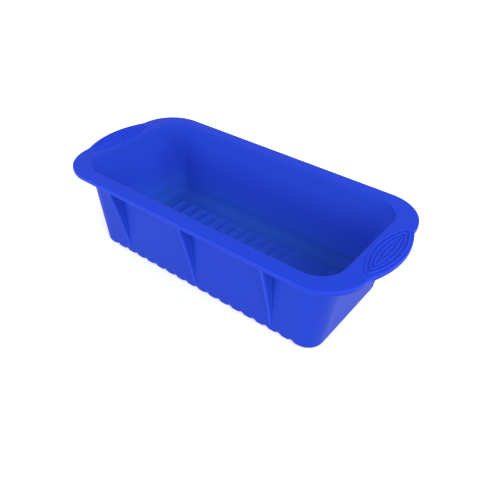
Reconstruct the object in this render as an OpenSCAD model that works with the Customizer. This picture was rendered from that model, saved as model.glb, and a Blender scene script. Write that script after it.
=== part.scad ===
// Silicone loaf mould for soap: one soft moulding, drawn as the features it is made of.
// Millimetres. Origin at the centre of the base, +X along the length, +Z up.
// Neighbouring features meet face to face on shared planes, so together they close the moulding.

/* [Rim] */
// Length of the rim, without the end grips
rim_length = 240.6; // [200:0.2:320]
// Width of the rim
rim_width = 117.4; // [100:0.2:160]
// Height from the table to the top of the rim
mould_height = 65; // [45:1:100]
// Thickness of the flat rim
rim_t = 3.3; // [2:0.1:5]
// Plan radius of the rim's outer corners
rim_corner_r = 29.6; // [22:0.2:38]
// Width of the flat rim at each end
rim_end_w = 16.1; // [12:0.1:24]
// Width of the flat rim along each side
rim_side_w = 12.2; // [8:0.1:16]

/* [Tub] */
// Wall thickness
wall_t = 2.2; // [1.6:0.1:3.2]
// Thickness of the floor
floor_t = 2.6; // [2:0.1:4]
// Slope of the end walls from upright, degrees
end_draft = 7.4; // [3:0.1:12]
// Slope of the long walls from upright, degrees
side_draft = 3.9; // [2:0.1:8]
// Plan radius of the cavity's corners at the rim
mouth_corner_r = 17.6; // [14:0.2:22]
// Plan radius of the tub's outer corners at the base
base_corner_r = 11.8; // [9:0.1:15]
// Radius of the outer bottom edge
heel_r = 2.8; // [2:0.1:6]
// Radius of the inner turn from wall to floor
fillet_r = 8; // [5:0.1:10]

/* [Floor ridges] */
// Distance from one cross ridge to the next
ridge_pitch = 10.2; // [8:0.1:16]
// Width of a ridge, and of the groove below it
ridge_w = 6; // [4:0.1:7]
// Height of a ridge, and depth of the groove below it
ridge_h = 1.2; // [0.6:0.1:1.6]
// Flat floor left between a ridge's end and the inner turn
ridge_end_gap = 2; // [0.5:0.1:4]

/* [Gussets] */
// Straight wall left between an end gusset and the corner
gusset_end_gap = 20; // [10:0.5:40]
// Thickness of a gusset
gusset_t = 2.4; // [2:0.1:4.5]
// How far a gusset's top corner stands back from the rim's edge
gusset_setback = 1; // [0.5:0.1:5]
// Height of a gusset's foot above the table
gusset_foot = 5; // [4:0.5:20]

/* [Grips] */
// How far a grip reaches beyond the end of the rim
grip_reach = 6.8; // [4:0.1:12]
// Radius of a grip's outer edge
grip_r = 63; // [50:1:80]
// Length of the leaf pattern, across the mould
leaf_l = 54.4; // [36:0.2:56]
// Width of the leaf pattern, along the mould
leaf_w = 17.4; // [12:0.1:18]
// Gap from the leaf pattern to the grip's outer edge
leaf_edge_gap = 1.7; // [1:0.1:4]
// Number of leaf-shaped rings, one inside the other
leaf_rings = 3; // [2:1:3]
// How much shorter each ring is at a tip than the ring around it
leaf_tip_pitch = 4.5; // [3:0.1:5.5]
// Width of a leaf ridge
leaf_ridge_w = 1.2; // [0.8:0.1:1.6]
// Height of a leaf ridge
leaf_ridge_h = 0.8; // [0.4:0.1:1.2]
// Length of the straight ridge in the middle of the leaf
leaf_bar_l = 15.6; // [8:0.2:20]

/* [Hidden] */

wall_color = [0.19, 0.31, 0.87];
rim_color = [0.17, 0.28, 0.86];
floor_color = [0.12, 0.24, 0.68];
leaf_color = [0.22, 0.34, 0.93];

heel_steps = 6;
fillet_steps = 6;
corner_steps = 12;
gusset_steps = 12;
gusset_curve = 1.2;
round_fn = 96;

rim_z = mould_height - rim_t;
rim_half_l = rim_length / 2;
rim_half_w = rim_width / 2;
mouth_half_l = rim_half_l - rim_end_w;
mouth_half_w = rim_half_w - rim_side_w;

// Half sizes and corner radius of the tub's outside at height z, before the heel is rounded.
function half_l(z) = mouth_half_l + wall_t - (rim_z - z) * tan(end_draft);
function half_w(z) = mouth_half_w + wall_t - (rim_z - z) * tan(side_draft);
function corner_r(z) = base_corner_r + (mouth_corner_r + wall_t - base_corner_r) * z / rim_z;

// Planes where a straight wall hands over to its corner, just before the wall starts to curve.
corner_lap = 1;
split_x = min(half_l(0) - corner_r(0), half_l(rim_z) - corner_r(rim_z)) - corner_lap;
split_y = min(half_w(0) - corner_r(0), half_w(rim_z) - corner_r(rim_z)) - corner_lap;

// The inner turn stays smaller than the cavity's corner radius at the floor.
turn_r = min(fillet_r, base_corner_r - wall_t - 0.5);
// Depth of the wall section, from the outside to where the flat floor starts.
foot_d = wall_t + turn_r;

// Wall section as [depth in from the sloping outside, height]: heel, inner turn, wall.
wall_section = concat(
    [[foot_d, floor_t], [foot_d, 0]],
    [for (i = [0:heel_steps])
        let (a = 90 * i / heel_steps) [heel_r * (1 - sin(a)), heel_r * (1 - cos(a))]],
    [[0, rim_z], [wall_t, rim_z]],
    [for (i = [0:fillet_steps - 1])
        let (a = 90 * i / fillet_steps)
        [wall_t + turn_r * (1 - cos(a)), floor_t + turn_r * (1 - sin(a))]]
);

// A part-round bar that is ridge_w wide where it stands ridge_h proud.
ridge_r = (ridge_w * ridge_w / 4 + ridge_h * ridge_h) / (2 * ridge_h);
ridge_side = floor((split_x - ridge_w / 2) / ridge_pitch);
ridge_places = [for (i = [-ridge_side:ridge_side]) i * ridge_pitch];
ridge_half_l = half_w(0) - foot_d - ridge_end_gap;

gusset_x = split_x - gusset_end_gap;

leaf_x = rim_half_l + grip_reach - leaf_edge_gap - leaf_w / 2;
leaf_pitch = (leaf_w - leaf_ridge_w) / 2 / leaf_rings;

module rounded_plate(hx, hy, r) {
    square([2 * hx, 2 * (hy - r)], center = true);
    square([2 * (hx - r), 2 * hy], center = true);
    for (sx = [-1, 1], sy = [-1, 1])
        translate([sx * (hx - r), sy * (hy - r)]) circle(r, $fn = round_fn);
}

// A closed solid through a list of outlines that all have the same number of points.
module loft(outlines) {
    n = len(outlines[0]);
    last = len(outlines) - 1;
    sides = [for (s = [0:last - 1], i = [0:n - 1])
        let (a = s * n + i, b = s * n + (i + 1) % n)
        each [[a, a + n, b + n], [a, b + n, b]]];
    polyhedron(
        points = [for (o = outlines) each o],
        faces = concat([[for (i = [0:n - 1]) i]], [[for (i = [n - 1:-1:0]) last * n + i]], sides)
    );
}

// Grooves under the floor, one below each ridge, open at the long sides.
module base_grooves() {
    for (x = ridge_places)
        translate([x, rim_half_w, ridge_h - ridge_r]) rotate([90, 0, 0])
            cylinder(r = ridge_r, h = rim_width, $fn = round_fn);
}

// Straight wall on the +Y side, with its grooved foot.
module side_wall() {
    difference() {
        translate([-split_x, 0, 0]) rotate([90, 0, 90]) linear_extrude(2 * split_x)
            polygon([for (p = wall_section) [half_w(p[1]) - p[0], p[1]]]);
        base_grooves();
    }
}

// Straight wall on the +X side.
module end_wall() {
    translate([0, split_y, 0]) rotate([90, 0, 0]) linear_extrude(2 * split_y)
        polygon([for (p = wall_section) [half_l(p[1]) - p[0], p[1]]]);
}

// Point of the +X +Y corner at angle a, for a place p of the wall section.
function corner_point(a, p) =
    let (z = p[1], r = corner_r(z), reach = r - p[0])
    [half_l(z) - r + reach * cos(a), half_w(z) - r + reach * sin(a), z];

module corner_wall() {
    loft(concat(
        [[for (p = wall_section) [half_l(p[1]) - p[0], split_y, p[1]]]],
        [for (i = [0:corner_steps]) [for (p = wall_section) corner_point(90 * i / corner_steps, p)]],
        [[for (p = wall_section) [split_x, half_w(p[1]) - p[0], p[1]]]]
    ));
}

// Flat floor, out to the line where the feet of the walls end.
module floor_panel() {
    color(floor_color) difference() {
        linear_extrude(floor_t)
            rounded_plate(half_l(0) - foot_d, half_w(0) - foot_d, corner_r(0) - foot_d);
        base_grooves();
    }
}

// Cross ridges on the floor, with round ends.
module floor_ridges() {
    color(floor_color) intersection() {
        for (x = ridge_places) translate([x, 0, floor_t + ridge_h - ridge_r]) {
            run = ridge_half_l - ridge_w / 2;
            rotate([90, 0, 0]) cylinder(r = ridge_r, h = 2 * run, center = true, $fn = round_fn);
            for (s = [-1, 1]) translate([0, s * run, 0]) sphere(ridge_r, $fn = round_fn);
        }
        translate([-rim_half_l, -rim_half_w, floor_t]) cube([rim_length, rim_width, mould_height]);
    }
}

module rim_ring() {
    translate([0, 0, rim_z]) linear_extrude(rim_t) difference() {
        rounded_plate(rim_half_l, rim_half_w, rim_corner_r);
        rounded_plate(mouth_half_l, mouth_half_w, mouth_corner_r);
    }
}

// Straight strip of the rim on the +Y side.
module rim_side() {
    intersection() {
        rim_ring();
        translate([-split_x, 0, 0]) cube([2 * split_x, rim_half_w, mould_height]);
    }
}

// End of the rim on the +X side, with both of its corners.
module rim_end() {
    intersection() {
        rim_ring();
        translate([split_x, -rim_half_w, 0]) cube([rim_half_l, rim_width, mould_height]);
    }
}

// Thumb grip beyond the rim's end on the +X side.
module grip() {
    translate([0, 0, rim_z]) linear_extrude(rim_t) intersection() {
        difference() {
            translate([rim_half_l + grip_reach - grip_r, 0]) circle(grip_r, $fn = 2 * round_fn);
            rounded_plate(rim_half_l, rim_half_w, rim_corner_r);
        }
        translate([split_x, -rim_half_w]) square([rim_half_l, rim_width]);
    }
}

// Pointed ring between two leaves, each the overlap of two circles.
module leaf_ring(long, wide) {
    r = (long * long + wide * wide) / (4 * wide);
    arc_x = r - wide / 2;
    difference() {
        intersection_for (s = [-1, 1]) translate([s * arc_x, 0]) circle(r, $fn = 2 * round_fn);
        intersection_for (s = [-1, 1]) translate([s * arc_x, 0])
            circle(r - leaf_ridge_w, $fn = 2 * round_fn);
    }
}

// Leaf-shaped ridges on top of the +X end.
module leaf_ridges() {
    translate([leaf_x, 0, mould_height]) linear_extrude(leaf_ridge_h) {
        for (i = [0:leaf_rings - 1])
            leaf_ring(leaf_l - 2 * i * leaf_tip_pitch, leaf_w - 2 * i * leaf_pitch);
        square([leaf_ridge_w, leaf_bar_l - leaf_ridge_w], center = true);
        for (s = [-1, 1]) translate([0, s * (leaf_bar_l - leaf_ridge_w) / 2])
            circle(leaf_ridge_w / 2, $fn = round_fn);
    }
}

// Upright stiffener between the +Y wall and the underside of the rim.
module gusset(x) {
    reach = rim_half_w - gusset_setback - half_w(rim_z);
    rise = rim_z - gusset_foot;
    edge = [for (i = [0:gusset_steps]) gusset_foot + rise * i / gusset_steps];
    translate([x - gusset_t / 2, 0, 0]) rotate([90, 0, 90]) linear_extrude(gusset_t)
        polygon(concat(
            [for (z = edge) [half_w(z) + reach * pow((z - gusset_foot) / rise, gusset_curve), z]],
            [[half_w(rim_z), rim_z]]
        ));
}

module flip_x() {
    mirror([1, 0, 0]) children();
}

module flip_y() {
    mirror([0, 1, 0]) children();
}

module front_wall() {
    color(wall_color) flip_y() side_wall();
}

module back_wall() {
    color(wall_color) side_wall();
}

module left_end_wall() {
    color(wall_color) flip_x() end_wall();
}

module right_end_wall() {
    color(wall_color) end_wall();
}

module front_left_corner() {
    color(wall_color) flip_x() flip_y() corner_wall();
}

module front_right_corner() {
    color(wall_color) flip_y() corner_wall();
}

module back_left_corner() {
    color(wall_color) flip_x() corner_wall();
}

module back_right_corner() {
    color(wall_color) corner_wall();
}

module rim_front() {
    color(rim_color) flip_y() rim_side();
}

module rim_back() {
    color(rim_color) rim_side();
}

module rim_left_end() {
    color(rim_color) flip_x() rim_end();
}

module rim_right_end() {
    color(rim_color) rim_end();
}

module left_grip() {
    color(rim_color) flip_x() grip();
}

module right_grip() {
    color(rim_color) grip();
}

module left_leaf_ridges() {
    color(leaf_color) flip_x() leaf_ridges();
}

module right_leaf_ridges() {
    color(leaf_color) leaf_ridges();
}

module front_gusset_left() {
    color(wall_color) flip_y() gusset(-gusset_x);
}

module front_gusset_middle() {
    color(wall_color) flip_y() gusset(0);
}

module front_gusset_right() {
    color(wall_color) flip_y() gusset(gusset_x);
}

module back_gusset_left() {
    color(wall_color) gusset(-gusset_x);
}

module back_gusset_middle() {
    color(wall_color) gusset(0);
}

module back_gusset_right() {
    color(wall_color) gusset(gusset_x);
}

floor_panel();
floor_ridges();
front_wall();
back_wall();
left_end_wall();
right_end_wall();
front_left_corner();
front_right_corner();
back_left_corner();
back_right_corner();
rim_front();
rim_back();
rim_left_end();
rim_right_end();
left_grip();
right_grip();
left_leaf_ridges();
right_leaf_ridges();
front_gusset_left();
front_gusset_middle();
front_gusset_right();
back_gusset_left();
back_gusset_middle();
back_gusset_right();
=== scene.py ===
# %% [markdown]
# # A silicone loaf mould for soap
#
# The real object is one soft moulding: silicone rubber is pressed into a steel tool, cured, and pulled off in
# one piece. It has a tapered tub, a flat rim with two thumb grips, ridges across the floor, and gussets that
# hold the rim up. Nothing is screwed or glued on, so there are no joints and no separate parts to fit.
#
# In Blender one moulding could be a box with bevels, a subdivision cage, or a skin worked out point by point.
# A cage is quick, but its walls never land exactly where a drawing says. This lesson works the skin out point
# by point from the section of the wall, and then cuts it into named closed pieces that share their edges.

import math

import bpy
import numpy as np
from mathutils import Matrix, Vector


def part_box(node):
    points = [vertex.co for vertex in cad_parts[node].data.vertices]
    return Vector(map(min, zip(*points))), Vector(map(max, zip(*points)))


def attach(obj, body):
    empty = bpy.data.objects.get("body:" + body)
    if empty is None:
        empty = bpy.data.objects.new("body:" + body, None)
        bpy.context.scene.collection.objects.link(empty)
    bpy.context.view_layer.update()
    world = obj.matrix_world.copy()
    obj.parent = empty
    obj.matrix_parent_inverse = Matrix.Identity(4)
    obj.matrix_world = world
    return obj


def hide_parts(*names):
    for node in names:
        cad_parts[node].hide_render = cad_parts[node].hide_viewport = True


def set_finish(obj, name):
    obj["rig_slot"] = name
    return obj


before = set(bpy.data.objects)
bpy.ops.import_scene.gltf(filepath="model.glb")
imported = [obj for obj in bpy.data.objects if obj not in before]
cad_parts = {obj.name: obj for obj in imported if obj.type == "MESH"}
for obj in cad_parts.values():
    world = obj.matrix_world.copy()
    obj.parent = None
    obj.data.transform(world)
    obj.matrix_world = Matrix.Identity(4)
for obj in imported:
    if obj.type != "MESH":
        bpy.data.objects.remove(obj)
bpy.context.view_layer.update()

# %% [markdown]
# ## Sizes
#
# Every size that the frame knows is read from it, so the looks follow the measured part. The rest, such as
# how round an edge is, are a maker's choices, and each one gets a name here. Silicone parts have no truly
# sharp outside edge, because the rubber has to fill the tool and come out of it. Lengths are in millimetres
# until a mesh is made, and Blender gets metres.

# %% Sizes from the frame
MM = 0.001


def reach(node, axis, side):
    """Where a part ends, in millimetres: axis 0 to 2, and side 0 for its low end or 1 for its high end."""
    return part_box(node)[side][axis] / MM


rim_x, rim_y = reach("rim_right_end", 0, 1), reach("rim_right_end", 1, 1)
rim_top, rim_under = reach("rim_front", 2, 1), reach("rim_front", 2, 0)
split_x, split_y = reach("front_wall", 0, 1), reach("right_end_wall", 1, 1)
under_x, under_y = reach("right_end_wall", 0, 1), reach("back_wall", 1, 1)
wall_thick = under_y - reach("rim_back", 1, 0)
floor_x, floor_y = reach("floor_panel", 0, 1), reach("floor_panel", 1, 1)
floor_top, ridge_top = reach("floor_panel", 2, 1), reach("floor_ridges", 2, 1)
ridge_x, ridge_y = reach("floor_ridges", 0, 1), reach("floor_ridges", 1, 1)
grip_x = reach("right_grip", 0, 1)
leaf_low_x, leaf_high_x = reach("right_leaf_ridges", 0, 0), reach("right_leaf_ridges", 0, 1)
leaf_y, leaf_top = reach("right_leaf_ridges", 1, 1), reach("right_leaf_ridges", 2, 1)
print("rim", rim_x, rim_y, "top", rim_top, "wall", round(wall_thick, 2), "floor", floor_x, floor_y)

# %% Sizes chosen by the maker
TURN_R = 8.0
HEEL_R = 2.8
COVE_R = 1.6
LIP_LOW_R = 0.6
LIP_TOP_R = 0.9
MOUTH_R = 1.9
BASE_CORNER_R = 11.8
UNDER_CORNER_R = 19.8
RIM_CORNER_R = 29.6
GRIP_R = 63.0
GRIP_BLEND = 0.9
RIDGE_PITCH = 10.2
RIDGE_WIDTH = 6.0
GROOVE_WIDTH = 6.4
base_x, base_y = floor_x + wall_thick + TURN_R, floor_y + wall_thick + TURN_R
ridges_each_side = round((ridge_x - RIDGE_WIDTH / 2) / RIDGE_PITCH)
ridge_places = RIDGE_PITCH * np.arange(-ridges_each_side, ridges_each_side + 1)
ridge_height = ridge_top - floor_top
print("base", base_x, base_y, "ridges", len(ridge_places))

# %% [markdown]
# ## The section of the wall
#
# Cut through the mould and the section shows how it was made: a heel where the wall meets the table, a
# sloping outside so that it leaves the tool, a small cove under the rim, the rim with a rounded lip, a rounded
# mouth, the sloping inside, and a large turn into the floor so that soap comes out without tearing. The ends
# slope more than the long walls, so the section is worked out once for each, with the same number of points.
# Straight lines and arcs that meet smoothly keep the highlights smooth, which a bevel on a rough box doesn't.

# %% Section helpers


def arc(centre_h, centre_z, radius, start, stop, steps):
    """Points on an arc of the section, angles in radians from straight out."""
    a = np.linspace(start, stop, steps + 1)
    return np.stack([centre_h + radius * np.cos(a), centre_z + radius * np.sin(a)], 1)


def slope(start, stop, heights):
    """Points on the straight line between two places of the section, at shares of the way."""
    t = np.asarray(heights)[:, None]
    return np.asarray(start) * (1 - t) + np.asarray(stop) * t


def wall_section(base, under, rim, floor_edge):
    """The section as rows of (half size, height), and the names of the stretches that its points are on."""
    lean = math.atan((under - base) / rim_under)
    run, slant = math.tan(lean), 1 / math.cos(lean)
    quarter = math.pi / 2
    heel = arc(base + HEEL_R * (run - slant), HEEL_R, HEEL_R, -quarter, -lean, 9)
    cove_z = rim_under - COVE_R
    cove = arc(base + cove_z * run + COVE_R * slant, cove_z, COVE_R, math.pi - lean, quarter, 5)
    outside = slope(heel[-1], cove[0], [0.025, 0.055, 0.1, 0.18, 0.3, 0.44, 0.58, 0.72, 0.86])
    lip_low = arc(rim - LIP_LOW_R, rim_under + LIP_LOW_R, LIP_LOW_R, -quarter, 0, 4)
    lip_top = arc(rim - LIP_TOP_R, rim_top - LIP_TOP_R, LIP_TOP_R, 0, quarter, 6)
    inner = base - wall_thick
    mouth_z = rim_top - MOUTH_R
    mouth = arc(inner + mouth_z * run + MOUTH_R * slant, mouth_z, MOUTH_R, quarter, math.pi - lean, 7)
    turn_z = floor_top + TURN_R
    turn = arc(inner + turn_z * run - TURN_R * slant, turn_z, TURN_R, -lean, -quarter, 10)
    inside = slope(mouth[-1], turn[0], [0.05, 0.16, 0.3, 0.44, 0.58, 0.72, 0.86])
    stretches = [
        ("foot", [[floor_edge, 0]]), ("heel", heel), ("outside", outside), ("cove", cove),
        ("lip", np.concatenate([lip_low, lip_top])), ("mouth", mouth), ("inside", inside), ("turn", turn),
        ("floor", [[floor_edge, floor_top]]),
    ]
    names = [name for name, points in stretches for _ in points]
    return np.concatenate([np.asarray(points, float) for _, points in stretches]), np.array(names)


end_section, stretch = wall_section(base_x, under_x, rim_x, floor_x)
side_section, _ = wall_section(base_y, under_y, rim_y, floor_y)
ring_count = len(stretch)
print("section points:", ring_count)

# %% [markdown]
# ## Outlines, from the floor up to the rim
#
# Seen from above, every height of the mould is a rectangle with round corners. The corners are tight at the
# base and wide at the rim, which is how a tapered moulding is drawn. Each outline gets the same stations, so
# that a net can be stretched over them: evenly spaced along the long sides, closer where a grip grows out of
# the rim, and fanned round each corner. The grip is part of a large circle. A smooth maximum joins it to the
# end of the rim, and leaves the small hollow where the two meet.

# %% Stations round an outline
SIDE_STEP = 0.8
MIDDLE_REACH = 24
side_stations = np.linspace(-split_x, split_x, 2 * round(split_x / SIDE_STEP) + 1)
near_middle, near_grip = np.linspace(0, MIDDLE_REACH, 17), np.linspace(MIDDLE_REACH, split_y, 12)
half_end = np.concatenate([near_middle, near_grip[1:]])
end_stations = np.concatenate([-half_end[:0:-1], half_end])
corner_angles = np.concatenate([np.linspace(0, 81, 25), np.linspace(81, 90, 9)[1:]])
corner_run = np.array([1, 2]) / 3


def quarter_outline(half_x, half_y, radius):
    """One corner in the first quarter, from the long side to the end, without its first and last points."""
    fan = np.radians(corner_angles)
    arc_x, arc_y = half_x - radius, half_y - radius
    along = np.stack([split_x + (arc_x - split_x) * corner_run, np.full(2, half_y)], 1)
    turn = np.stack([arc_x + radius * np.sin(fan), arc_y + radius * np.cos(fan)], 1)
    down = np.stack([np.full(2, half_x), arc_y + (split_y - arc_y) * corner_run], 1)
    return np.concatenate([along, turn, down])


def outline(half_x, half_y, radius):
    """A whole outline, anticlockwise from the left end of the front side."""
    q = quarter_outline(half_x, half_y, radius)
    n, m = len(side_stations), len(end_stations)
    front = np.stack([side_stations, np.full(n, -half_y)], 1)
    right = np.stack([np.full(m, half_x), end_stations], 1)
    return np.concatenate([front, q * [1, -1], right, q[::-1], -front, q * [-1, 1], -right, -q[::-1]])


share_q = np.concatenate([[0, 0], np.sin(np.radians(corner_angles)) ** 2, [1, 1]])
zeros, ones = np.zeros(len(side_stations)), np.ones(len(end_stations))
end_share = np.concatenate([zeros, share_q, ones, share_q[::-1], zeros, share_q, ones, share_q[::-1]])
station_count = len(end_share)
side_n, end_n, corner_n = len(side_stations), len(end_stations), len(share_q)
starts = np.cumsum([0, side_n, corner_n, end_n, corner_n, side_n, corner_n, end_n, corner_n])
print("stations round the mould:", station_count)

# %% The grip grows out of the rim


def with_grips(points, inset):
    """Pushes the ends of a rim outline out to the grips, drawn inset from the grips' edge."""
    x, y = np.abs(points[:, 0]), points[:, 1]
    circle = grip_x - GRIP_R + np.sqrt(np.maximum((GRIP_R - inset) ** 2 - y**2, 0))
    blend = np.clip(0.5 + 0.5 * (circle - x) / GRIP_BLEND, 0, 1)
    pushed = x * (1 - blend) + circle * blend + GRIP_BLEND * blend * (1 - blend)
    grown = points.copy()
    grown[:, 0] = np.where(x > split_x, np.sign(points[:, 0]) * pushed, points[:, 0])
    return grown


# %% [markdown]
# ## Grooves below the floor
#
# The tool that shapes the ridges on the floor leaves grooves on the other side, so that the rubber is about
# as thick everywhere. The grooves run out over the heel of each long wall, and give its bottom edge a
# scalloped line. They could be cut with booleans, but a boolean leaves hard edges and ragged faces. Here each
# point of the foot and heel is pushed in along the surface's own direction, most at the bottom and not at all
# a few millimetres up the wall.

# %% How deep the grooves are at each place
GROOVE_FULL, GROOVE_GONE = 1.8, 6.5


def groove_depth(x):
    """Depth of the grooves at places along the mould."""
    away = np.abs(np.asarray(x)[..., None] - ridge_places).min(-1)
    return ridge_height * np.cos(np.pi * np.minimum(away / GROOVE_WIDTH, 0.5)) ** 2


def smooth_step(low, high, value):
    t = np.clip((value - low) / (high - low), 0, 1)
    return t * t * (3 - 2 * t)


outer = np.isin(stretch, ["foot", "heel", "outside"])
steps = np.linalg.norm(np.diff(side_section, axis=0), axis=1)
first_heel = int(np.argmax(stretch == "heel"))
climb = np.concatenate([[0], np.cumsum(steps)]) - steps[:first_heel].sum()
groove_share = np.where(outer, 1 - smooth_step(GROOVE_FULL, GROOVE_GONE, climb), 0)
along_section = np.gradient(side_section, axis=0)
inward = np.stack([-along_section[:, 1], along_section[:, 0]], 1)
inward[0] = inward[first_heel] = [0, 1]
inward /= np.linalg.norm(inward, axis=1)[:, None]
print("rings with grooves:", int((groove_share > 0).sum()))

# %% [markdown]
# ## The skin
#
# Now the net: one ring for each point of the section, one station for each point of an outline. The height at
# a corner slides from the long wall's section to the end wall's. The shading direction of each point is worked
# out on the whole skin, before any cut, so that two pieces that meet are lit as the one moulding they are.

# %% Stretch the net


def ring(j):
    """The ring of the skin at one point of the section."""
    (hx, zx), (hy, zy) = end_section[j], side_section[j]
    if stretch[j] == "lip":
        points = with_grips(outline(hx, hy, RIM_CORNER_R - (rim_x - hx)), rim_x - hx)
    else:
        z = (zx + zy) / 2
        corner = BASE_CORNER_R + (UNDER_CORNER_R - BASE_CORNER_R) * z / rim_under
        off_x = hx - (base_x + (under_x - base_x) * z / rim_under)
        off_y = hy - (base_y + (under_y - base_y) * z / rim_under)
        points = outline(hx, hy, corner + (off_x + off_y) / 2)
    heights = zy + (zx - zy) * end_share
    depth = groove_share[j] * groove_depth(points[:, 0]) * (end_share == 0)
    points[:, 1] += np.sign(points[:, 1]) * inward[j, 0] * depth
    return np.column_stack([points, heights + inward[j, 1] * depth])


skin = np.stack([ring(j) for j in range(ring_count)])
skin[-1, :, :2] = outline(floor_x, floor_y, BASE_CORNER_R - TURN_R - wall_thick)


def skin_directions(net):
    """Outward direction at each point of the net, larger faces counting for more."""
    nxt = np.roll(net, -1, axis=1)
    face = np.cross(nxt[1:] - net[:-1], net[1:] - nxt[:-1])
    total = np.zeros_like(net)
    total[:-1] += face + np.roll(face, 1, axis=1)
    total[1:] += face + np.roll(face, 1, axis=1)
    return total / np.linalg.norm(total, axis=2)[:, :, None]


skin_normals = skin_directions(skin)
print("skin points:", skin.shape, "low", skin.min((0, 1)).round(2), "high", skin.max((0, 1)).round(2))

# %% [markdown]
# ## Painted light and shade in the hollow
#
# Inside the mould the colour is painted to stand for the light and shade of the hollow. It begins at the
# mouth, changes again below half the depth, and is strongest where the wall turns into the floor, as painted
# shade.
# Each point of the skin carries a number from 0 to 1 for it, made of three shares that come in one after the
# other on the way down. The floor and the faces of the gussets get theirs when they are made.

# %% Lay the painted light and shade on the skin
# Painted light in the hollow from the mouth down, and painted shade where the wall turns into the floor.
LIGHT_RAMP, FLOOR_EDGE_SHADE = 0.035, 0.95
FIRST_SHARE, LOW_SHARE, TURN_SHARE = 0.5, 0.25, 0.25
LOW_START, LOW_END = 0.5, 0.9
TURN_START, TURN_END = 0.84, 0.93
in_cavity = np.isin(stretch, ["mouth", "inside", "turn", "floor"])[:, None]
depth_share = np.clip((rim_top - skin[:, :, 2]) / (rim_top - floor_top), 0, 1)
mouth_light = FIRST_SHARE * smooth_step(0, LIGHT_RAMP, depth_share)
low_deepening = LOW_SHARE * smooth_step(LOW_START, LOW_END, depth_share)
turn_shade = TURN_SHARE * smooth_step(TURN_START, TURN_END, depth_share)
skin_shading = np.where(in_cavity, mouth_light + low_deepening + turn_shade, 0)
skin_shading[stretch == "floor"] = FLOOR_EDGE_SHADE
print("film from", skin_shading.min(), "to", skin_shading.max().round(3))

# %% [markdown]
# ## Cutting the skin into pieces
#
# A piece has to be a closed mesh, as a solid is. Each piece takes a block of the net, and gets flat faces
# where it was cut: across the wall at both of its ends, and under the rim or beside the floor. The cut faces
# lie inside the moulding, so nobody sees them, but they make each piece printable and measurable by itself.

# %% Helpers that make closed pieces
collection = bpy.context.scene.collection
pieces = []
# The point attribute that carries the painted light and shade.
PAINTED_SHADING = "painted_light_and_shade"
SHARP_FROM, BEAD_SHARP_FROM = 50, 60


def add_piece(name, points, faces, slot, nodes, flat=(), corner_normals=None, sharp=None, shading=None):
    """Makes one closed piece in metres, hides the frame's parts that it stands for, and gives it a finish
    slot.
    """
    mesh = bpy.data.meshes.new(name)
    mesh.from_pydata((np.asarray(points) * MM).tolist(), [], [list(map(int, f)) for f in faces])
    smooth = np.ones(len(mesh.polygons), bool)
    smooth[list(flat)] = False
    mesh.polygons.foreach_set("use_smooth", smooth)
    if sharp is not None:
        mesh.set_sharp_from_angle(angle=math.radians(sharp))
    if corner_normals is not None:
        mesh.normals_split_custom_set(corner_normals)
    mesh.validate()
    shading = np.zeros(len(points)) if shading is None else shading
    mesh.attributes.new(PAINTED_SHADING, "FLOAT", "POINT").data.foreach_set("value", shading.astype(np.float32))
    piece = bpy.data.objects.new(name, mesh)
    collection.objects.link(piece)
    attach(piece, "root")
    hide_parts(*nodes)
    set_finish(piece, slot)
    pieces.append(piece)
    print(f"{name}: {len(mesh.vertices)} points, {len(mesh.polygons)} faces, stands for {', '.join(nodes)}")


def cut_from_skin(name, rings, first, last, slot, nodes):
    """One closed piece: these rings of the skin, from one station to another."""
    rings = list(rings)
    stations = np.arange(first, last + 1) % station_count
    n, m = len(rings), len(stations)
    block = np.ix_(rings, stations)
    points, normals = skin[block].reshape(-1, 3), skin_normals[block].reshape(-1, 3)
    faces, flat, corners = [], [], []
    for r in range(n):
        r2 = (r + 1) % n
        on_skin = rings[r2] - rings[r] == 1
        for c in range(m - 1):
            quad = [r * m + c, r * m + c + 1, r2 * m + c + 1, r2 * m + c]
            if not on_skin:
                flat.append(len(faces))
            corners.extend(normals[quad].tolist() if on_skin else [(0, 0, 0)] * 4)
            faces.append(quad)
    for cap in ([r * m for r in range(n)], [r * m + m - 1 for r in reversed(range(n))]):
        flat.append(len(faces))
        corners.extend([(0, 0, 0)] * n)
        faces.append(cap)
    shading = skin_shading[block].reshape(-1)
    add_piece(name, points, faces, slot, nodes, flat, corners, shading=shading)


# %% [markdown]
# ## Walls, corners and rim
#
# The skin is cut where the frame's own parts meet: at the ends of the straight walls, and just under the rim.
# On the real mould these lines aren't there. Keeping the same lines as the frame means that each piece can
# be matched to a measured solid, and that a maker can swap a wall or a rim without touching the rest.

# %% Cut the walls and corners
cove_ring = int(np.argmax(stretch == "cove"))
under_mouth = int(np.argmax(stretch == "inside"))
wall_rings = [*range(0, cove_ring + 1), *range(under_mouth, ring_count)]
front0, fr0, right0, br0, back0, bl0, left0, fl0, end0 = starts
wall_cuts = [
    ("front_wall_skin", front0, fr0 - 1, "front_wall"),
    ("front_right_corner_skin", fr0 - 1, right0, "front_right_corner"),
    ("right_end_wall_skin", right0, br0 - 1, "right_end_wall"),
    ("back_right_corner_skin", br0 - 1, back0, "back_right_corner"),
    ("back_wall_skin", back0, bl0 - 1, "back_wall"),
    ("back_left_corner_skin", bl0 - 1, left0, "back_left_corner"),
    ("left_end_wall_skin", left0, fl0 - 1, "left_end_wall"),
    ("front_left_corner_skin", fl0 - 1, end0, "front_left_corner"),
]
for name, first, last, node in wall_cuts:
    cut_from_skin(name, wall_rings, first, last, "silicone", [node])

# %% Cut the rim, with a grip on each end
rim_rings = range(cove_ring, under_mouth + 1)
rim_cuts = [
    ("rim_front_skin", front0, fr0 - 1, ["rim_front"]),
    ("rim_right_with_grip", fr0 - 1, back0, ["rim_right_end", "right_grip"]),
    ("rim_back_skin", back0, bl0 - 1, ["rim_back"]),
    ("rim_left_with_grip", bl0 - 1, end0, ["rim_left_end", "left_grip"]),
]
for name, first, last, nodes in rim_cuts:
    cut_from_skin(name, rim_rings, first, last, "silicone_rim", nodes)
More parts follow.
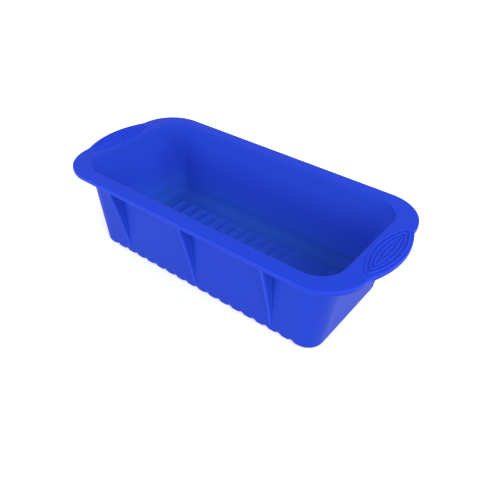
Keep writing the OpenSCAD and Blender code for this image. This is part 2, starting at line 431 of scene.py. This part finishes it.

# %% [markdown]
# ## The ridged floor
#
# Low ridges run across the floor. They stiffen it, and leave a ribbed base on the soap so that it drains and
# dries. Each ridge is a soft bump with a round end. As a height over the floor it is a function of how far a
# place is from the ridge's middle line, so a grid lifted by that function gives ridges, ends and the flats
# between them in one closed piece. The same grid seen from below carries the grooves. The floor gets painted
# shade, darkest at its edge by the walls and lighter towards the middle.

# %% Lift a grid into a floor
RIDGE_FOOT = 7.6
FLOOR_ROWS = 84
floor_corner = BASE_CORNER_R - TURN_R - wall_thick
edge_steps = np.linspace(1, 0, 5)
# The floor's painted shade is darkest at its edge by the walls and lighter towards the middle.
FLOOR_FADE, SHADE_REACH = 0.30, 9.0


def grid_line(inner, outer_half):
    """Grid places along one direction: the inner ones, and some closer ones across the round corner."""
    out = outer_half - floor_corner * edge_steps
    return np.concatenate([-out[::-1], inner, out])


grid_x = grid_line(side_stations, floor_x)
flat_y = floor_y - floor_corner
grid_y = grid_line(np.linspace(-flat_y, flat_y, FLOOR_ROWS + 1)[1:-1], floor_y)
floor_grid_x, floor_grid_y = np.meshgrid(grid_x, grid_y, indexing="ij")


def ridge_rise(x, y):
    """Height of the ridges over the flat floor."""
    run = ridge_y - RIDGE_WIDTH / 2
    beyond = np.maximum(np.abs(y) - run, 0)
    across = np.abs(x[..., None] - ridge_places).min(-1)
    away = np.hypot(across, beyond)
    return ridge_height * np.cos(np.pi * np.minimum(away / RIDGE_FOOT, 0.5)) ** 2


def round_corners(x, y):
    """Pulls the square corners of the grid in to the round ones."""
    cx, cy = np.abs(x) - (floor_x - floor_corner), np.abs(y) - (floor_y - floor_corner)
    inside = (cx > 0) & (cy > 0)
    scale = np.where(inside, np.maximum(cx, cy) / np.maximum(np.hypot(cx, cy), 1e-9), 1)
    new_x = np.where(inside, floor_x - floor_corner + cx * scale, np.abs(x)) * np.sign(x)
    new_y = np.where(inside, floor_y - floor_corner + cy * scale, np.abs(y)) * np.sign(y)
    return new_x, new_y


top_z = floor_top + ridge_rise(floor_grid_x, floor_grid_y)
low_z = groove_depth(floor_grid_x) * (np.abs(floor_grid_x) <= split_x)
plan_x, plan_y = round_corners(floor_grid_x, floor_grid_y)
nx, ny = plan_x.shape
floor_points = np.concatenate([np.stack([plan_x, plan_y, z], -1).reshape(-1, 3) for z in (top_z, low_z)])
number = np.arange(nx * ny).reshape(nx, ny)
a, b, c, d = number[:-1, :-1], number[1:, :-1], number[1:, 1:], number[:-1, 1:]
top_faces = np.stack([a, b, c, d], -1).reshape(-1, 4)
low_faces = top_faces[:, ::-1] + nx * ny
rim_loop = np.concatenate([number[:-1, 0], number[-1, :-1], number[:0:-1, -1], number[0, :0:-1]])
rim_next = np.roll(rim_loop, -1)
side_faces = np.stack([rim_loop + nx * ny, rim_next + nx * ny, rim_next, rim_loop], -1)
floor_faces = np.concatenate([top_faces, low_faces, side_faces])
side_numbers = range(len(floor_faces) - len(side_faces), len(floor_faces))
from_edge = np.minimum(floor_x - np.abs(plan_x), floor_y - np.abs(plan_y))
floor_shading = FLOOR_EDGE_SHADE - FLOOR_FADE * smooth_step(0, SHADE_REACH, from_edge)
add_piece(
    "ridged_floor", floor_points, floor_faces, "silicone", ["floor_panel", "floor_ridges"], side_numbers,
    sharp=SHARP_FROM, shading=np.concatenate([floor_shading.ravel(), np.zeros(nx * ny)]),
)

# %% [markdown]
# ## Gussets under the rim
#
# A thin web stands between each long wall and the rim, in three places a side. It stops the rim from folding
# when a full mould is lifted. Seen from the side it is a curved triangle: wide under the rim and running out
# low on the wall. Each one is lofted from level sections, with a small fillet at the root and a rounded
# outer edge, and it starts a little inside the wall so that no gap can show. Its side faces get a little
# painted light, which lightens them in the shade under the rim.

# %% Loft the gussets
GUSSET_ROOT_R = 0.5
GUSSET_EDGE_R = 1.15
GUSSET_CURVE = 1.2
GUSSET_SINK = 1.0
GUSSET_LEVELS = 30
GUSSET_RUN_OUT, GUSSET_LET_IN, GUSSET_TUCK = 1.0, 0.6, 0.3
# A share of painted light on the webs' side faces, which lightens them in their shade.
WEB_LIGHT = 0.3
FACE_MARGIN = 0.05
gusset_foot = reach("back_gusset_middle", 2, 0)
gusset_half = reach("back_gusset_middle", 0, 1)
gusset_reach = reach("back_gusset_middle", 1, 1) - under_y


def gusset_section(stand):
    """Level section of a gusset that stands this far off the wall, as (across, off the wall)."""
    root, edge = min(GUSSET_ROOT_R, 0.5 * max(stand, 0)), min(GUSSET_EDGE_R, 0.5 * max(stand, 0))
    a = np.linspace(0, np.pi / 2, 5)
    fillet = np.stack([gusset_half + root * (1 - np.sin(a)), root * (1 - np.cos(a))], 1)
    fillet[:, 1] += min(stand, 0)
    nose = np.stack([gusset_half - edge * (1 - np.cos(a)), stand - edge * (1 - np.sin(a))], 1)
    right = np.concatenate([[[gusset_half + root, -GUSSET_SINK]], fillet, nose])
    return np.concatenate([right, right[::-1] * [-1, 1]])


def loft_faces(levels, count):
    """Faces of a closed loft through level loops that run anticlockwise."""
    faces = [
        [k * count + i, k * count + (i + 1) % count, (k + 1) * count + (i + 1) % count, (k + 1) * count + i]
        for k in range(levels - 1)
        for i in range(count)
    ]
    return faces + [list(range(count))[::-1], [(levels - 1) * count + i for i in range(count)]]


def add_gusset(name, node, middle, side):
    """One gusset, on the back wall for side 1 and on the front wall for side -1."""
    low, high = gusset_foot - GUSSET_RUN_OUT, rim_under + GUSSET_LET_IN
    heights = low + (high - low) * np.linspace(0, 1, GUSSET_LEVELS)
    loops = []
    for z in heights:
        share = np.clip((z - gusset_foot) / (rim_under - gusset_foot), 0, 1)
        stand = gusset_reach * share**GUSSET_CURVE - GUSSET_TUCK * (z < gusset_foot)
        section = gusset_section(stand)
        wall = base_y + (under_y - base_y) * min(z, rim_under) / rim_under
        across, off_wall = middle + section[:, 0], side * (wall + section[:, 1])
        loops.append(np.column_stack([across, off_wall, np.full(len(section), z)]))
    count = len(loops[0])
    faces = loft_faces(len(heights), count)
    if side < 0:
        faces = [f[::-1] for f in faces]
    on_face = np.abs(loops[0][:, 0] - middle) > gusset_half - FACE_MARGIN
    add_piece(
        name, np.concatenate(loops), faces, "silicone", [node],
        sharp=SHARP_FROM, shading=np.tile(np.where(on_face, WEB_LIGHT, 0), len(loops)),
    )


for side_name, side in (("front", -1), ("back", 1)):
    for place in ("left", "middle", "right"):
        node = f"{side_name}_gusset_{place}"
        middle = (reach(node, 0, 0) + reach(node, 0, 1)) / 2
        add_gusset(node + "_web", node, middle, side)

# %% [markdown]
# ## Leaf-shaped ridges on the grips
#
# Fingers slip on wet silicone, so each grip carries raised lines: three leaf-shaped rings, one inside the
# other, and a short bar in the middle. Each ring is a bead swept along a closed line, two long arcs joined by
# a small arc at each tip. A curve with a bevel could do it, but a swept mesh gives a bead with a flat, sunk
# foot that closes against the rim.

# %% Sweep the beads
BEAD_WIDTH = 1.3
BEAD_SINK = 0.3
BEAD_LINE = 0.6
BEAD_FULLNESS = 0.9
BAR_CROWN_END = 1.5
RING_COUNT = 3
TIP_PITCH = 4.5
TIP_ROUNDING = 1.0
TIP_RADII = (1.6, 1.1, 0.75)
BAR_LENGTH = 15.6
leaf_middle = (leaf_low_x + leaf_high_x) / 2
leaf_half_w = (leaf_high_x - leaf_low_x) / 2
bead_height = leaf_top - rim_top


def leaf_line(half_w, half_l, tip):
    """A closed leaf-shaped line with round tips, and its outward directions."""
    cx = ((half_l - tip) ** 2 - (half_w - tip) ** 2) / (2 * (half_w - tip))
    big = cx + half_w
    swing = math.atan2(half_l - tip, cx)
    long_side = np.linspace(-swing, swing, 49)
    tip_turn = np.linspace(swing, math.pi - swing, 17)[1:-1]
    right = np.stack([-cx + big * np.cos(long_side), big * np.sin(long_side)], 1)
    top = np.stack([tip * np.cos(tip_turn), half_l - tip + tip * np.sin(tip_turn)], 1)
    half = np.concatenate([right, top])
    out = np.concatenate([np.stack([np.cos(t), np.sin(t)], 1) for t in (long_side, tip_turn)])
    return np.concatenate([half, -half]), np.concatenate([out, -out])


def bead_section():
    """Section of a bead, from its inner foot over the crown to its outer foot."""
    a = np.linspace(math.pi, 0, 9)
    crown = np.stack([BEAD_WIDTH / 2 * np.cos(a), bead_height * np.sin(a) ** BEAD_FULLNESS], 1)
    return np.concatenate([[[-BEAD_WIDTH / 2, -BEAD_SINK]], crown, [[BEAD_WIDTH / 2, -BEAD_SINK]]])


def swept_ring(line, out):
    """Points and faces of a bead swept round a closed line."""
    section = bead_section()
    n, m = len(line), len(section)
    plan = line[:, None, :] + out[:, None, :] * section[None, :, :1]
    points = np.concatenate([plan, np.broadcast_to(rim_top + section[None, :, 1:], (n, m, 1))], 2)
    faces = [
        [i * m + j, ((i + 1) % n) * m + j, ((i + 1) % n) * m + (j + 1) % m, i * m + (j + 1) % m]
        for i in range(n)
        for j in range(m)
    ]
    return points.reshape(-1, 3), faces


def bar(length):
    """Points and faces of a straight bead with round ends."""
    turn = np.linspace(0, math.pi, 13)
    loops = []
    radius = BEAD_WIDTH / 2
    crown = np.linspace(0, BAR_CROWN_END, 6)
    levels = [(radius, -BEAD_SINK)] + [(radius * math.cos(t), bead_height * math.sin(t)) for t in crown]
    for r, z in levels:
        cap = np.stack([r * np.cos(turn), length / 2 - radius + r * np.sin(turn)], 1)
        loops.append(np.column_stack([np.concatenate([cap, -cap]), np.full(2 * len(turn), rim_top + z)]))
    return np.concatenate(loops), loft_faces(len(loops), len(loops[0]))


def leaf_points():
    """All the beads of one leaf, one after the other, round the origin."""
    parts = []
    for i in range(RING_COUNT):
        half_w = (leaf_half_w - BEAD_LINE) * (1 - i / RING_COUNT)
        half_l = leaf_y - TIP_ROUNDING - i * TIP_PITCH
        parts.append(swept_ring(*leaf_line(half_w, half_l, TIP_RADII[i])))
    parts.append(bar(BAR_LENGTH))
    points, faces, offset = [], [], 0
    for part_points, part_faces in parts:
        points.append(part_points)
        faces += [[v + offset for v in f] for f in part_faces]
        offset += len(part_points)
    return np.concatenate(points), faces


for side_name, side in (("left", -1), ("right", 1)):
    beads, bead_faces = leaf_points()
    beads = beads * [side, side, 1] + [side * leaf_middle, 0, 0]
    node = f"{side_name}_leaf_ridges"
    add_piece(f"{side_name}_leaf_beads", beads, bead_faces, "silicone_rim", [node], sharp=BEAD_SHARP_FROM)

# %% [markdown]
# ## Marking the painted highlights
#
# The rim's lip, its top and the crowns of the beads get a lighter colour painted on: a painted highlight along
# the lip, painted light on the rim's top, and painted highlights on the bead crowns. No scattering shader is
# used, since it would show the hidden cut faces inside the moulding. Each point carries a number from 0 to 1
# for how much painted highlight it gets, and the finishes read it. The number comes from where the point is:
# on the lip of the rim, on the rim's top, or on the crown of a bead.

# %% Store how much painted highlight each point gets
# Painted highlight along the rim's lip, painted light on the rim's top, and painted highlights on the bead
# crowns.
HIGHLIGHT = "painted_highlight"
LIP_HIGHLIGHT, TOP_LIGHT = 0.85, 0.5
LIP_MARGIN, LIP_FROM, LIP_FULL = 0.3, -1.6, -0.4
TOP_DEPTH, TOP_MARGIN = 1.2, 0.1
GRIP_ZONE, ABOVE_RIM = 4, 0.01


def highlight_amount(points):
    """How much painted highlight each point gets, 0 to 1, from where the point is on the mould."""
    x, y, z = np.abs(points[:, 0]), np.abs(points[:, 1]), points[:, 2]
    corner_x, corner_y = rim_x - RIM_CORNER_R, rim_y - RIM_CORNER_R
    corner_out = np.hypot(np.maximum(x - corner_x, 0), np.maximum(y - corner_y, 0)) - RIM_CORNER_R
    flat_out = np.maximum(x - rim_x, y - rim_y)
    past_rim = np.where((x > corner_x) & (y > corner_y), corner_out, flat_out)
    past_grip = np.hypot(x - (grip_x - GRIP_R), y) - GRIP_R
    past = np.where(x > rim_x - GRIP_ZONE, np.minimum(past_rim, past_grip), past_rim)
    high_up = smooth_step(rim_top - LIP_TOP_R - LIP_MARGIN, rim_top - LIP_MARGIN, z)
    lip = LIP_HIGHLIGHT * high_up * smooth_step(LIP_FROM, LIP_FULL, past)
    top = TOP_LIGHT * smooth_step(rim_top - TOP_DEPTH, rim_top - TOP_MARGIN, z)
    crown = smooth_step(rim_top + TOP_MARGIN, leaf_top - TOP_MARGIN, z)
    return np.where(z > rim_top + ABOVE_RIM, crown, np.maximum(lip, top))


for piece in pieces:
    mesh = piece.data
    points = np.empty(len(mesh.vertices) * 3)
    mesh.vertices.foreach_get("co", points)
    values = highlight_amount(points.reshape(-1, 3) / MM)
    mesh.attributes.new(HIGHLIGHT, "FLOAT", "POINT").data.foreach_set("value", values.astype(np.float32))
print("pieces marked:", len(pieces))

# %% [markdown]
# ## Effects shared by the finishes
#
# Cured silicone is never one flat colour. Three effects are shared by the finishes. The tool was blasted with
# fine grit, so the skin has a very fine grain and, over a few centimetres, a faint ripple. A thin powdery
# bloom comes to the surface in soft patches, and catches dust. And a painted highlight lightens the rim's lip,
# its top and the crowns of the beads. Each effect is a node group with named inputs, so that both finishes can
# use it with their own values. A group gives out only a height, a mask or a colour, and the shader itself
# stays in the material.

# %% Helpers for node groups


def new_group(name, inputs, outputs):
    """A shader node group with named inputs (name, default) and outputs (name, kind)."""
    group = bpy.data.node_groups.new(name, "ShaderNodeTree")
    for label, value in inputs:
        kind = "NodeSocketColor" if isinstance(value, tuple) else "NodeSocketFloat"
        socket = group.interface.new_socket(name=label, in_out="INPUT", socket_type=kind)
        socket.default_value = value
    for label, kind in outputs:
        group.interface.new_socket(name=label, in_out="OUTPUT", socket_type=kind)
    return group, group.nodes.new("NodeGroupInput"), group.nodes.new("NodeGroupOutput")


def math_node(tree, operation, first, second=None):
    """A math node with links or plain numbers on its inputs, returned as its output socket."""
    node = tree.nodes.new("ShaderNodeMath")
    node.operation = operation
    for socket, value in zip(node.inputs, (first, second)):
        if isinstance(value, (int, float)):
            socket.default_value = value
        elif value is not None:
            tree.links.new(value, socket)
    return node.outputs[0]


def noise(tree, size, detail, roughness):
    """Noise over the object's own space, with patches of the size on a socket, in metres."""
    place = tree.nodes.new("ShaderNodeTexCoord").outputs["Object"]
    node = tree.nodes.new("ShaderNodeTexNoise")
    tree.links.new(place, node.inputs["Vector"])
    tree.links.new(math_node(tree, "DIVIDE", 1.0, size), node.inputs["Scale"])
    node.inputs["Detail"].default_value = detail
    node.inputs["Roughness"].default_value = roughness
    return node.outputs["Fac"]


def mapped(tree, value, low, high, smooth=True):
    """Maps low..high of a value to 0..1."""
    node = tree.nodes.new("ShaderNodeMapRange")
    node.interpolation_type = "SMOOTHSTEP" if smooth else "LINEAR"
    tree.links.new(value, node.inputs["Value"])
    for socket, bound in (("From Min", low), ("From Max", high)):
        if isinstance(bound, (int, float)):
            node.inputs[socket].default_value = bound
        else:
            tree.links.new(bound, node.inputs[socket])
    return node.outputs["Result"]


def mixed(tree, share, first, second):
    """Mixes two colours, which are links or plain colours, by a share."""
    node = tree.nodes.new("ShaderNodeMix")
    node.data_type = "RGBA"
    tree.links.new(share, node.inputs["Factor"])
    for socket, colour in ((node.inputs[6], first), (node.inputs[7], second)):
        if isinstance(colour, tuple):
            socket.default_value = colour
        else:
            tree.links.new(colour, socket)
    return node.outputs[2]


# %% Group: grain and ripple of the tool
grain_group, g_in, g_out = new_group(
    "tool_grain",
    [("Grain Size", 0.0004), ("Ripple Size", 0.02), ("Ripple Share", 0.4)],
    [("Height", "NodeSocketFloat")],
)
fine = noise(grain_group, g_in.outputs["Grain Size"], 3.0, 0.6)
ripple = noise(grain_group, g_in.outputs["Ripple Size"], 1.0, 0.4)
rest = math_node(grain_group, "SUBTRACT", 1.0, g_in.outputs["Ripple Share"])
height = math_node(
    grain_group,
    "ADD",
    math_node(grain_group, "MULTIPLY", fine, rest),
    math_node(grain_group, "MULTIPLY", ripple, g_in.outputs["Ripple Share"]),
)
grain_group.links.new(height, g_out.inputs["Height"])
print("group", grain_group.name)

# %% Group: powdery bloom and dust
BLOOM_START, COVER_SHIFT, BLOOM_SOFTNESS = 0.85, 0.6, 0.3
SPECK_FROM, SPECK_FULL = 0.74, 0.86
bloom_group, b_in, b_out = new_group(
    "powdery_bloom",
    [("Patch Size", 0.03), ("Speck Size", 0.0012), ("Cover", 0.5)],
    [("Bloom", "NodeSocketFloat"), ("Dust", "NodeSocketFloat")],
)
patches = noise(bloom_group, b_in.outputs["Patch Size"], 4.0, 0.55)
shift = math_node(bloom_group, "MULTIPLY", b_in.outputs["Cover"], COVER_SHIFT)
start = math_node(bloom_group, "SUBTRACT", BLOOM_START, shift)
bloom = mapped(bloom_group, patches, start, math_node(bloom_group, "ADD", start, BLOOM_SOFTNESS))
specks = mapped(bloom_group, noise(bloom_group, b_in.outputs["Speck Size"], 1.0, 0.3), SPECK_FROM, SPECK_FULL)
dust = math_node(bloom_group, "MULTIPLY", specks, bloom)
bloom_group.links.new(bloom, b_out.inputs["Bloom"])
bloom_group.links.new(dust, b_out.inputs["Dust"])
print("group", bloom_group.name)

# %% Group: painted highlight colour
highlight_group, e_in, e_out = new_group(
    "painted_highlight_colour",
    [("Body Colour", (0.0, 0.0, 0.5, 1.0)), ("Highlight Colour", (0.1, 0.2, 0.9, 1.0)), ("Strength", 0.5)],
    [("Colour", "NodeSocketColor"), ("Highlight", "NodeSocketFloat")],
)
# The stored amount of painted highlight mixes in the lighter colour.
stored = highlight_group.nodes.new("ShaderNodeAttribute")
stored.attribute_name = HIGHLIGHT
highlight_mix = math_node(highlight_group, "MULTIPLY", stored.outputs["Fac"], e_in.outputs["Strength"])
highlighted_colour = mixed(highlight_group, highlight_mix, e_in.outputs["Body Colour"], e_in.outputs["Highlight Colour"])
highlight_group.links.new(highlighted_colour, e_out.inputs["Colour"])
highlight_group.links.new(stored.outputs["Fac"], e_out.inputs["Highlight"])
print("group", highlight_group.name)

# %% [markdown]
# ## Two finishes of one rubber
#
# The walls and floor keep the full grain of the tool. The rim is wiped and handled more, so it is a touch
# smoother, with less bloom, and it gets a stronger painted highlight. Silicone reflects little, so its
# specular stays low and its roughness middling: highlights on the round edges are soft streaks, not mirror
# lines. The painted light and shade of the hollow changes the colour in three steps: lighter from the mouth
# down, lighter and greener lower down, and darker again at the turn into the floor, as painted shade. Where
# it lies, the surface is also rougher and shows much less shine.

# %% Make the finishes
# The painted light and shade also roughens the surface and hides shine, and mixes its three colours by these
# amounts.
SHADING_ROUGHENS, SHADING_HIDES_SHINE = 0.3, 0.85
PAINTED_LIGHT_AT, PAINTED_DEEP_AT = 0.5, 0.75
SILICONE_IOR = 1.41
BLOOM_PATCH = 0.034
# Bloom roughens the surface, and the painted highlight makes it a little smoother.
BLOOM_DRIES, HIGHLIGHT_SMOOTHS = 0.08, -0.08
BUMP_STRENGTH = 0.6
DUST_COLOUR = (0.45, 0.52, 0.8, 1.0)


def silicone(name, body, bloomed, painted_light, painted_deep, painted_shade, edge, grain, values):
    """A silicone finish. Values: roughness, bump depth, bloom cover, painted highlight strength, specular and
    dust.
    """
    material = bpy.data.materials.new(name)
    material.use_nodes = True
    tree = material.node_tree
    shader = tree.nodes["Principled BSDF"]
    shader.inputs["IOR"].default_value = SILICONE_IOR

    def placed(group, settings):
        node = tree.nodes.new("ShaderNodeGroup")
        node.node_tree = group
        for label, value in settings.items():
            node.inputs[label].default_value = value
        return node

    grain_node = placed(grain_group, grain)
    bloom_node = placed(bloom_group, {"Patch Size": BLOOM_PATCH, "Cover": values["cover"]})
    # The painted highlight: a lighter colour on the rim's lip, its top and the bead crowns.
    highlight_node = placed(highlight_group, {"Highlight Colour": edge, "Strength": values["edge"]})
    shading = tree.nodes.new("ShaderNodeAttribute")
    shading.attribute_name = PAINTED_SHADING
    powdered = mixed(tree, bloom_node.outputs["Bloom"], body, bloomed)
    amount = shading.outputs["Fac"]
    # Painted light from the mouth down, deeper lower down, and painted shade at the turn into the floor.
    lit = mixed(tree, mapped(tree, amount, 0.0, PAINTED_LIGHT_AT), powdered, painted_light)
    deep = mixed(tree, mapped(tree, amount, PAINTED_LIGHT_AT, PAINTED_DEEP_AT, smooth=False), lit, painted_deep)
    shaded = mixed(tree, mapped(tree, amount, PAINTED_DEEP_AT, 1.0, smooth=False), deep, painted_shade)
    tree.links.new(shaded, highlight_node.inputs["Body Colour"])
    dusty = math_node(tree, "MULTIPLY", bloom_node.outputs["Dust"], values["dust"])
    colour = mixed(tree, dusty, highlight_node.outputs["Colour"], DUST_COLOUR)
    tree.links.new(colour, shader.inputs["Base Color"])
    dry = math_node(tree, "MULTIPLY", bloom_node.outputs["Bloom"], BLOOM_DRIES)
    polished = math_node(tree, "MULTIPLY", highlight_node.outputs["Highlight"], HIGHLIGHT_SMOOTHS)
    dulled = math_node(tree, "MULTIPLY", amount, SHADING_ROUGHENS)
    rough = math_node(tree, "ADD", math_node(tree, "ADD", dry, polished), values["roughness"])
    tree.links.new(math_node(tree, "ADD", rough, dulled), shader.inputs["Roughness"])
    gloss = math_node(tree, "SUBTRACT", 1.0, math_node(tree, "MULTIPLY", amount, SHADING_HIDES_SHINE))
    shine = math_node(tree, "MULTIPLY", gloss, values["specular"])
    tree.links.new(shine, shader.inputs["Specular IOR Level"])
    bump = tree.nodes.new("ShaderNodeBump")
    bump.inputs["Distance"].default_value = values["bump"]
    bump.inputs["Strength"].default_value = BUMP_STRENGTH
    tree.links.new(grain_node.outputs["Height"], bump.inputs["Height"])
    tree.links.new(bump.outputs["Normal"], shader.inputs["Normal"])
    print("finish", name)
    return material


wall_finish = silicone(
    "blue_silicone_walls",
    body=(0.0058, 0.0345, 0.402, 1.0),
    bloomed=(0.0070, 0.0380, 0.430, 1.0),
    # Colours of the painted light and shade in the hollow; the last is the painted shade at the turn.
    painted_light=(0.0195, 0.060, 0.54, 1.0),
    painted_deep=(0.0270, 0.100, 0.59, 1.0),
    painted_shade=(0.0240, 0.094, 0.52, 1.0),
    # The colour of the painted highlight.
    edge=(0.011, 0.044, 0.56, 1.0),
    grain={"Grain Size": 0.0005, "Ripple Size": 0.022, "Ripple Share": 0.35},
    values={"roughness": 0.47, "bump": 0.00006, "cover": 0.5, "edge": 0.5, "specular": 0.11, "dust": 0.12},
)
rim_finish = silicone(
    "blue_silicone_rim",
    body=(0.0070, 0.0345, 0.405, 1.0),
    bloomed=(0.0082, 0.0375, 0.430, 1.0),
    # Colours of the painted light and shade in the hollow; the last is the painted shade at the turn.
    painted_light=(0.0195, 0.060, 0.54, 1.0),
    painted_deep=(0.0270, 0.100, 0.59, 1.0),
    painted_shade=(0.0240, 0.094, 0.52, 1.0),
    # The colour of the painted highlight, at full strength on the rim.
    edge=(0.0125, 0.0450, 0.590, 1.0),
    grain={"Grain Size": 0.00045, "Ripple Size": 0.026, "Ripple Share": 0.3},
    values={"roughness": 0.42, "bump": 0.00005, "cover": 0.35, "edge": 1.0, "specular": 0.11, "dust": 0.08},
)
finishes = {"silicone": wall_finish, "silicone_rim": rim_finish}
for piece in pieces:
    piece.data.materials.append(finishes[piece["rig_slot"]])

# %% [markdown]
# ## The studio
#
# A blue part on a pale floor needs little: a wide white sky for the soft light, and three large soft boxes, in
# front on the left, at the right, and behind on the right. The strongest one is in front, so the long wall is
# bright and the webs' right faces fall into shade. The floor is a matte sheet of near white. It glows a
# little, so that it stays white without strong lamps.

# %% Floor, sky and soft boxes
FLOOR_HALF = 3.0
PAPER_WHITE, FLOOR_GLOW = 0.93, 0.3
SKY_STRENGTH = 0.6
BOX_SIZE, BOX_AIM = 1.2, (0, 0, 0.03)
floor_corners = [(-1, -1), (1, -1), (1, 1), (-1, 1)]
floor_mesh = bpy.data.meshes.new("studio_floor")
floor_mesh.from_pydata([(x * FLOOR_HALF, y * FLOOR_HALF, 0) for x, y in floor_corners], [], [(0, 1, 2, 3)])
studio_floor = bpy.data.objects.new("studio_floor", floor_mesh)
collection.objects.link(studio_floor)
paper = bpy.data.materials.new("white_paper")
paper.use_nodes = True
paper_shader = paper.node_tree.nodes["Principled BSDF"]
paper_shader.inputs["Base Color"].default_value = (PAPER_WHITE, PAPER_WHITE, PAPER_WHITE, 1.0)
paper_shader.inputs["Roughness"].default_value = 0.95
paper_shader.inputs["Specular IOR Level"].default_value = 0.1
paper_shader.inputs["Emission Color"].default_value = (1.0, 1.0, 1.0, 1.0)
paper_shader.inputs["Emission Strength"].default_value = FLOOR_GLOW
floor_mesh.materials.append(paper)

world = bpy.data.worlds.new("soft_sky")
bpy.context.scene.world = world
world.use_nodes = True
world.node_tree.nodes["Background"].inputs["Color"].default_value = (1.0, 1.0, 1.0, 1.0)
world.node_tree.nodes["Background"].inputs["Strength"].default_value = SKY_STRENGTH


def soft_box(name, place, power):
    """A square soft box that looks at the product, in metres and watts."""
    light = bpy.data.lights.new(name, "AREA")
    light.shape = "SQUARE"
    light.size = BOX_SIZE
    light.energy = power
    lamp = bpy.data.objects.new(name, light)
    collection.objects.link(lamp)
    lamp.location = place
    lamp.rotation_euler = (Vector(BOX_AIM) - Vector(place)).to_track_quat("-Z", "Y").to_euler()
    print(name, "at", place, "power", power)


soft_box("front_left_box", (-0.636, -1.575, 0.822), 22.6)
soft_box("right_box", (1.58, -0.485, 0.911), 18.9)
soft_box("back_right_box", (0.852, 0.852, 1.467), 16.0)

# %% [markdown]
# ## The camera
#
# The camera looks down on the mould from the front right, a little above a standing viewer's line over a
# table. It is close, so the near corner is drawn clearly larger than the far one. Its place is given as a
# direction and a distance from a point near the middle of the base, which is easier to adjust than x, y, z.

# %% Place the camera
CAMERA_AIM = Vector((0.007262, 0.009502, 0.005382))
AIM_NUDGE = 0.000381
CAMERA_AZIMUTH, CAMERA_ELEVATION, CAMERA_ROLL = (math.radians(a) for a in (37.411, 38.244, 0.846))
CAMERA_DISTANCE = 0.42125
CAMERA_LENS = 39.88
towards = Vector(
    (
        math.sin(CAMERA_AZIMUTH) * math.cos(CAMERA_ELEVATION),
        -math.cos(CAMERA_AZIMUTH) * math.cos(CAMERA_ELEVATION),
        math.sin(CAMERA_ELEVATION),
    )
)
level = (-towards).cross(Vector((0, 0, 1))).normalized()
upright = level.cross(-towards)
right_hand = level * math.cos(CAMERA_ROLL) + upright * math.sin(CAMERA_ROLL)
up_hand = upright * math.cos(CAMERA_ROLL) - level * math.sin(CAMERA_ROLL)
turned = Matrix((right_hand, up_hand, towards)).transposed()
camera_data = bpy.data.cameras.new("product_camera")
camera_data.lens = CAMERA_LENS
camera_data.sensor_width = 36.0
camera_data.clip_start = 0.01
camera = bpy.data.objects.new("product_camera", camera_data)
collection.objects.link(camera)
nudge = (up_hand - right_hand) * AIM_NUDGE
camera.matrix_world = Matrix.Translation(CAMERA_AIM + nudge + towards * CAMERA_DISTANCE) @ turned.to_4x4()
bpy.context.scene.camera = camera
bpy.context.scene.view_settings.view_transform = "Standard"
print("camera at", [round(v, 4) for v in camera.matrix_world.translation])

# %% [markdown]
# ## The last step
#
# The looks may not grow out of the measured part.

# %% Update the scene
bpy.context.view_layer.update()
